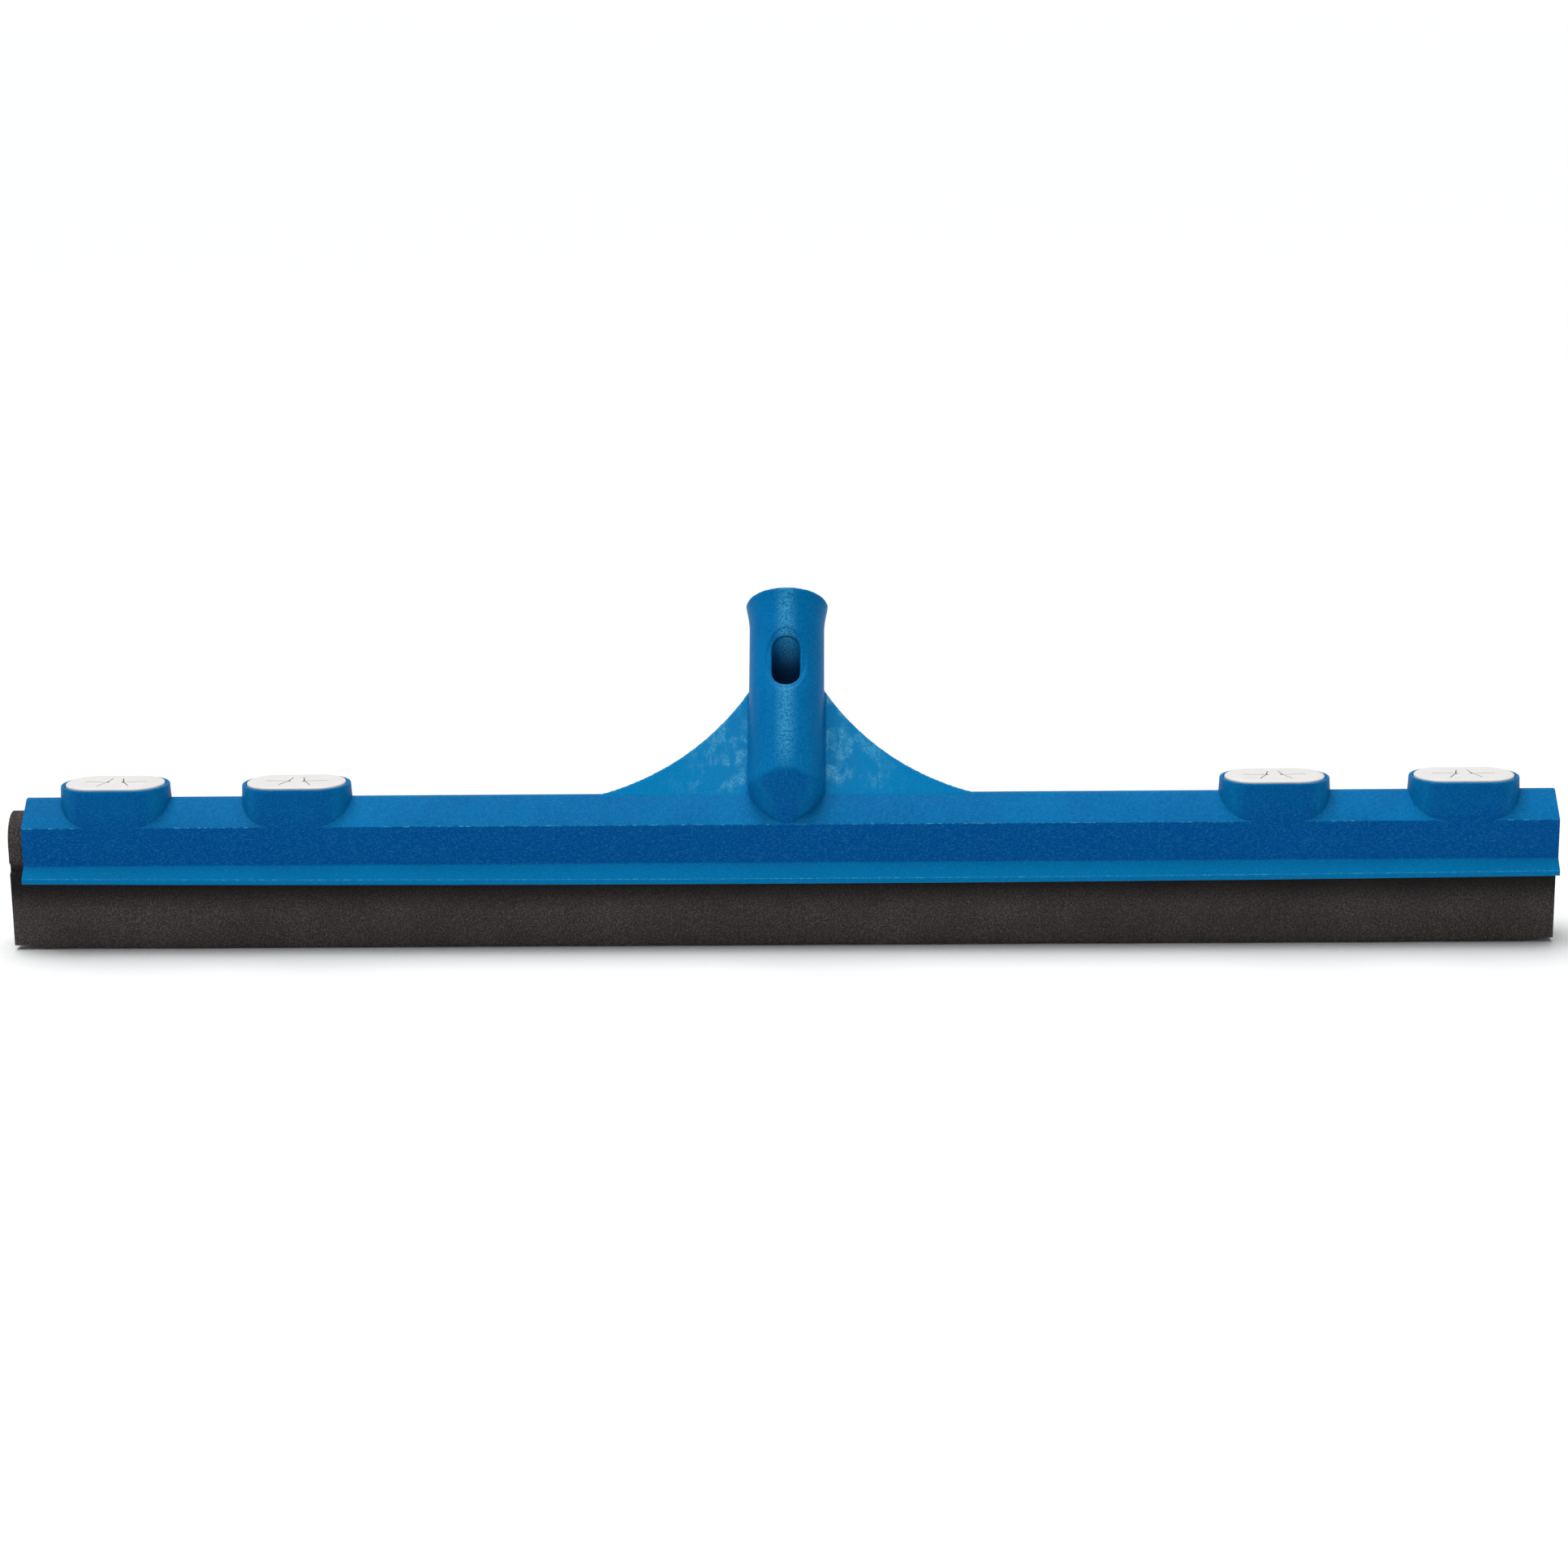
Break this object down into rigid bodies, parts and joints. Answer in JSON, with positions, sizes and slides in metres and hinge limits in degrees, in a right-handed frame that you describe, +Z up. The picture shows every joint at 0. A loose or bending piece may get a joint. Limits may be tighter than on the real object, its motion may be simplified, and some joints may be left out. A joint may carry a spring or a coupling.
{
  "type": "floor squeegee head",
  "caption": "Floor squeegee head: moulded channel with a folded foam blade, a leaning handle socket on a curved web, and raised cups whose slit membranes grip a floor cloth.",
  "frame": {"origin": "middle of the front lip's foot, on the floor", "axes": "+X along the blade to the right as seen from the front, +Y to the back, where the handle leans, +Z up"},
  "size_m": [0.6002, 0.0771, 0.1336],
  "materials": {
    "blue_frame": "injection-moulded polypropylene, satin, with pale flow marks by the webs",
    "white_membrane": "soft thermoplastic rubber, moulded, matt",
    "charcoal_foam": "closed-cell moss rubber, fine open grain on the cut faces",
    "core_grey": "extruded hard plastic"
  },
  "bodies": {
    "frame": {"channel_frame": "blue_frame", "handle_socket": "blue_frame", "web_left": "blue_frame", "web_right": "blue_frame", "gripper_cup_1": "blue_frame", "gripper_cup_2": "blue_frame", "gripper_cup_3": "blue_frame", "gripper_cup_4": "blue_frame", "membrane_1": "white_membrane", "membrane_2": "white_membrane", "membrane_3": "white_membrane", "membrane_4": "white_membrane"},
    "blade_cassette": {"foam_blade": "charcoal_foam", "core_bar": "core_grey"},
    "flap_1_left_front": {"flap_1_left_front": "white_membrane"},
    "flap_1_left_back": {"flap_1_left_back": "white_membrane"},
    "flap_1_right_front": {"flap_1_right_front": "white_membrane"},
    "flap_1_right_back": {"flap_1_right_back": "white_membrane"},
    "flap_2_left_front": {"flap_2_left_front": "white_membrane"},
    "flap_2_left_back": {"flap_2_left_back": "white_membrane"},
    "flap_2_right_front": {"flap_2_right_front": "white_membrane"},
    "flap_2_right_back": {"flap_2_right_back": "white_membrane"},
    "flap_3_left_front": {"flap_3_left_front": "white_membrane"},
    "flap_3_left_back": {"flap_3_left_back": "white_membrane"},
    "flap_3_right_front": {"flap_3_right_front": "white_membrane"},
    "flap_3_right_back": {"flap_3_right_back": "white_membrane"},
    "flap_4_left_front": {"flap_4_left_front": "white_membrane"},
    "flap_4_left_back": {"flap_4_left_back": "white_membrane"},
    "flap_4_right_front": {"flap_4_right_front": "white_membrane"},
    "flap_4_right_back": {"flap_4_right_back": "white_membrane"}
  },
  "joints": [
    {"name": "blade_slide", "type": "slide", "parent": "frame", "child": "blade_cassette", "axis": [-1, 0, 0], "range_m": [0, 0.56]},
    {"name": "flap_1_left_front_bend", "type": "hinge", "parent": "frame", "child": "flap_1_left_front", "pos_m": [-0.2709, 0.00482, 0.0649], "axis": [-0.6637, 0.748, 0], "range_deg": [0, 50], "stiffness_Nm_per_rad": 0.01},
    {"name": "flap_1_left_back_bend", "type": "hinge", "parent": "frame", "child": "flap_1_left_back", "pos_m": [-0.26882, 0.01038, 0.0649], "axis": [0.9095, 0.4158, 0], "range_deg": [0, 50], "stiffness_Nm_per_rad": 0.01},
    {"name": "flap_1_right_front_bend", "type": "hinge", "parent": "frame", "child": "flap_1_right_front", "pos_m": [-0.2531, 0.00482, 0.0649], "axis": [-0.6637, -0.748, 0], "range_deg": [0, 50], "stiffness_Nm_per_rad": 0.01},
    {"name": "flap_1_right_back_bend", "type": "hinge", "parent": "frame", "child": "flap_1_right_back", "pos_m": [-0.25518, 0.01038, 0.0649], "axis": [0.9095, -0.4158, 0], "range_deg": [0, 50], "stiffness_Nm_per_rad": 0.01},
    {"name": "flap_2_left_front_bend", "type": "hinge", "parent": "frame", "child": "flap_2_left_front", "pos_m": [-0.1999, 0.00482, 0.0649], "axis": [-0.6637, 0.748, 0], "range_deg": [0, 50], "stiffness_Nm_per_rad": 0.01},
    {"name": "flap_2_left_back_bend", "type": "hinge", "parent": "frame", "child": "flap_2_left_back", "pos_m": [-0.19782, 0.01038, 0.0649], "axis": [0.9095, 0.4158, 0], "range_deg": [0, 50], "stiffness_Nm_per_rad": 0.01},
    {"name": "flap_2_right_front_bend", "type": "hinge", "parent": "frame", "child": "flap_2_right_front", "pos_m": [-0.1821, 0.00482, 0.0649], "axis": [-0.6637, -0.748, 0], "range_deg": [0, 50], "stiffness_Nm_per_rad": 0.01},
    {"name": "flap_2_right_back_bend", "type": "hinge", "parent": "frame", "child": "flap_2_right_back", "pos_m": [-0.18418, 0.01038, 0.0649], "axis": [0.9095, -0.4158, 0], "range_deg": [0, 50], "stiffness_Nm_per_rad": 0.01},
    {"name": "flap_3_left_front_bend", "type": "hinge", "parent": "frame", "child": "flap_3_left_front", "pos_m": [0.1801, 0.00482, 0.0649], "axis": [-0.6637, 0.748, 0], "range_deg": [0, 50], "stiffness_Nm_per_rad": 0.01},
    {"name": "flap_3_left_back_bend", "type": "hinge", "parent": "frame", "child": "flap_3_left_back", "pos_m": [0.18218, 0.01038, 0.0649], "axis": [0.9095, 0.4158, 0], "range_deg": [0, 50], "stiffness_Nm_per_rad": 0.01},
    {"name": "flap_3_right_front_bend", "type": "hinge", "parent": "frame", "child": "flap_3_right_front", "pos_m": [0.1979, 0.00482, 0.0649], "axis": [-0.6637, -0.748, 0], "range_deg": [0, 50], "stiffness_Nm_per_rad": 0.01},
    {"name": "flap_3_right_back_bend", "type": "hinge", "parent": "frame", "child": "flap_3_right_back", "pos_m": [0.19582, 0.01038, 0.0649], "axis": [0.9095, -0.4158, 0], "range_deg": [0, 50], "stiffness_Nm_per_rad": 0.01},
    {"name": "flap_4_left_front_bend", "type": "hinge", "parent": "frame", "child": "flap_4_left_front", "pos_m": [0.2531, 0.00482, 0.0649], "axis": [-0.6637, 0.748, 0], "range_deg": [0, 50], "stiffness_Nm_per_rad": 0.01},
    {"name": "flap_4_left_back_bend", "type": "hinge", "parent": "frame", "child": "flap_4_left_back", "pos_m": [0.25518, 0.01038, 0.0649], "axis": [0.9095, 0.4158, 0], "range_deg": [0, 50], "stiffness_Nm_per_rad": 0.01},
    {"name": "flap_4_right_front_bend", "type": "hinge", "parent": "frame", "child": "flap_4_right_front", "pos_m": [0.2709, 0.00482, 0.0649], "axis": [-0.6637, -0.748, 0], "range_deg": [0, 50], "stiffness_Nm_per_rad": 0.01},
    {"name": "flap_4_right_back_bend", "type": "hinge", "parent": "frame", "child": "flap_4_right_back", "pos_m": [0.26882, 0.01038, 0.0649], "axis": [0.9095, -0.4158, 0], "range_deg": [0, 50], "stiffness_Nm_per_rad": 0.01}
  ]
}
